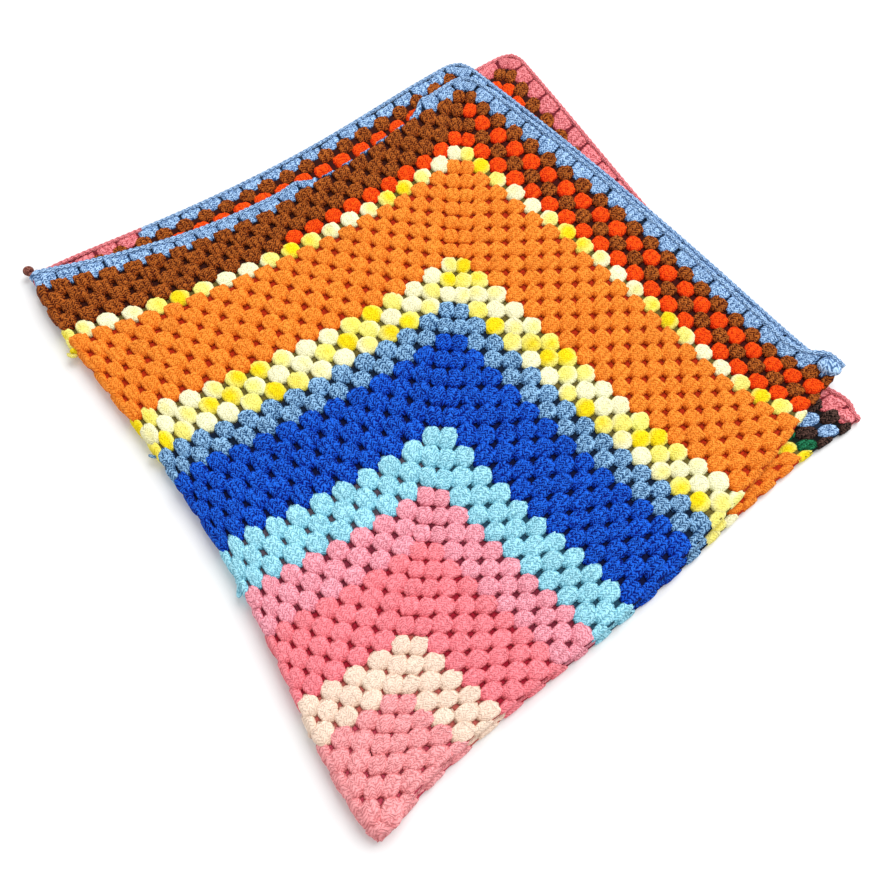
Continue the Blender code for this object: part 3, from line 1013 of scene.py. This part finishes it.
def yarn_ends_mesh(name):
    """The loose ends and the knots, joined."""
    palette, tubes, count = yarn_colours(), [], 0
    for number, item in enumerate((*ENDS, *KNOTS)):
        shape = end_shape(item) if isinstance(item, End) else knot_shape(item)
        points, quads, caps = closed_tube(*shape)
        rows = (len(points) - 2) // END_SIDES
        run = np.repeat(np.linspace(0, 20, rows), END_SIDES)
        angle = np.tile(np.abs(np.linspace(-9, 9, END_SIDES, endpoint=False)), rows)
        local = np.stack([run, angle, np.full_like(run, 40.0 * number)], axis=-1)
        which = NAMES.index(item.yarn)
        tubes.append((
            points, quads + count, caps + count, np.concatenate([local, local[:1], local[-1:]]),
            np.tile(palette[which], (len(points), 1)),
            np.full(len(points), YARNS[which].contrast),
        ))
        count += len(points)
    points, quads, caps, local, colours, contrast = map(np.concatenate, zip(*tubes))
    return make_mesh(name, points, [quads, caps], local, colours, contrast)


class BLANKET_OT_ground(Operator):
    """Make the ground of the cloth, which shows in the openings in painted shade"""

    bl_idname = "blanket.ground"
    bl_label = "Ground"

    def execute(self, context):
        sizes = context.scene.blanket_stitches
        # The cloth is a sheet painted in the shade that shows through the openings
        mesh = ground_mesh("cloth", sizes.ground)
        cloth = new_piece("cloth", mesh, ground_material("yarn in shadow"))
        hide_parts("blanket")
        return {"FINISHED"}


class BLANKET_OT_clusters(Operator):
    """Make the stitch clusters of the four sides of the square"""

    bl_idname = "blanket.clusters"
    bl_label = "Clusters"

    def execute(self, context):
        sizes = context.scene.blanket_stitches
        material = yarn_material("looped yarn")
        for side, word in enumerate(("far", "right", "near", "left")):
            name = "clusters_" + word
            new_piece(name, cluster_mesh(name, side, sizes), material)
        return {"FINISHED"}


class BLANKET_OT_edging(Operator):
    """Make the chain round the free edge and the loose ends of yarn"""

    bl_idname = "blanket.edging"
    bl_label = "Edging"

    def execute(self, context):
        sizes = context.scene.blanket_stitches
        material = yarn_material("chain yarn", 2.5, 9.0, 0.6, -9.0)
        new_piece("edging", edging_mesh("edging", sizes), material)
        new_piece("yarn_ends", yarn_ends_mesh("yarn_ends"), yarn_material("end yarn"))
        return {"FINISHED"}


class BLANKET_OT_declare(Operator):
    """Check that the cloth and the pieces that lie on it have been made"""

    bl_idname = "blanket.declare"
    bl_label = "Declare the sheet"

    def execute(self, context):
        objects = bpy.data.objects
        on_it = [o for o in objects if o.name.startswith(("clusters_", "edging", "yarn_ends"))]
        if "cloth" not in objects or not on_it:
            raise RuntimeError("make the ground and the clusters first")
        return {"FINISHED"}


class BLANKET_OT_stage(Operator):
    """Make the floor, the lights and the camera"""

    bl_idname = "blanket.stage"
    bl_label = "Stage"

    def execute(self, context):
        stage = context.scene.blanket_stage
        corners = FLOOR_REACH * np.array([[-1, -1, 0], [1, -1, 0], [1, 1, 0], [-1, 1, 0]])
        mesh = make_mesh("floor", corners, [np.array([[0, 1, 2, 3]])])
        shading = Shading("pale floor")
        where = shading.node("ShaderNodeTexCoord", {}, output=3)
        shade = shading.mix(
            shading.noise(where, 40.0, 2.0), (*(0.985 * value for value in stage.floor), 1.0),
            (*stage.floor, 1.0),
        )
        mesh.materials.append(shading.finish(Base_Color=shade, Roughness=0.9))
        new_object("floor", mesh)

        world = bpy.data.worlds.new("studio")
        world.use_nodes = True
        background = world.node_tree.nodes["Background"]
        background.inputs["Color"].default_value = (1.0, 1.0, 1.0, 1.0)
        background.inputs["Strength"].default_value = stage.sky
        context.scene.world = world
        light = bpy.data.lights.new("key", "SUN")
        light.energy, light.angle = stage.key, np.radians(KEY_WIDTH)
        key = new_object("key", light)
        key.rotation_mode = "QUATERNION"
        key.rotation_quaternion = Vector(KEY_FROM).to_track_quat("Z", "Y")

        lens = bpy.data.cameras.new("camera")
        lens.lens, lens.sensor_width = stage.lens, 36.0
        lens.clip_start, lens.clip_end = 0.01, 50.0
        camera = new_object("camera", lens)
        azimuth, elevation, roll = np.radians(CAMERA_TURN)
        ahead = Vector((
            np.cos(elevation) * np.cos(azimuth), np.cos(elevation) * np.sin(azimuth),
            -np.sin(elevation),
        ))
        right = ahead.cross(Vector((0, 0, 1))).normalized()
        turn = Matrix((right, right.cross(ahead), -ahead)).transposed()
        turn = (turn @ Matrix.Rotation(roll, 3, "Z")).to_4x4()
        camera.matrix_world = Matrix.Translation(CAMERA_PLACE) @ turn
        context.scene.camera = camera
        context.scene.view_settings.view_transform = "Standard"
        return {"FINISHED"}


class BLANKET_PT_panel(Panel):
    """Colours, sizes and steps of the blanket"""

    bl_idname = "BLANKET_PT_panel"
    bl_label = "Granny square blanket"
    bl_space_type = "VIEW_3D"
    bl_region_type = "UI"
    bl_category = "Blanket"

    def draw(self, context):
        for group in ("blanket_yarns", "blanket_stitches", "blanket_stage"):
            settings = getattr(context.scene, group)
            box = self.layout.box()
            for key in settings.__annotations__:
                box.prop(settings, key)
        for step in STEPS:
            self.layout.operator(step.bl_idname)


SETTINGS = (
    ("blanket_yarns", YarnColours), ("blanket_stitches", StitchSizes),
    ("blanket_stage", StageSettings),
)
STEPS = (
    BLANKET_OT_ground, BLANKET_OT_clusters, BLANKET_OT_edging, BLANKET_OT_declare,
    BLANKET_OT_stage,
)


def register():
    for name, group in SETTINGS:
        bpy.utils.register_class(group)
        setattr(bpy.types.Scene, name, PointerProperty(type=group))
    for step in (*STEPS, BLANKET_PT_panel):
        bpy.utils.register_class(step)


def unregister():
    for step in (*STEPS, BLANKET_PT_panel):
        bpy.utils.unregister_class(step)
    for name, group in SETTINGS:
        delattr(bpy.types.Scene, name)
        bpy.utils.unregister_class(group)


def main():
    register()
    bpy.ops.blanket.ground()
    bpy.ops.blanket.clusters()
    bpy.ops.blanket.edging()
    bpy.ops.blanket.declare()
    bpy.ops.blanket.stage()


if __name__ == "__main__":
    main()
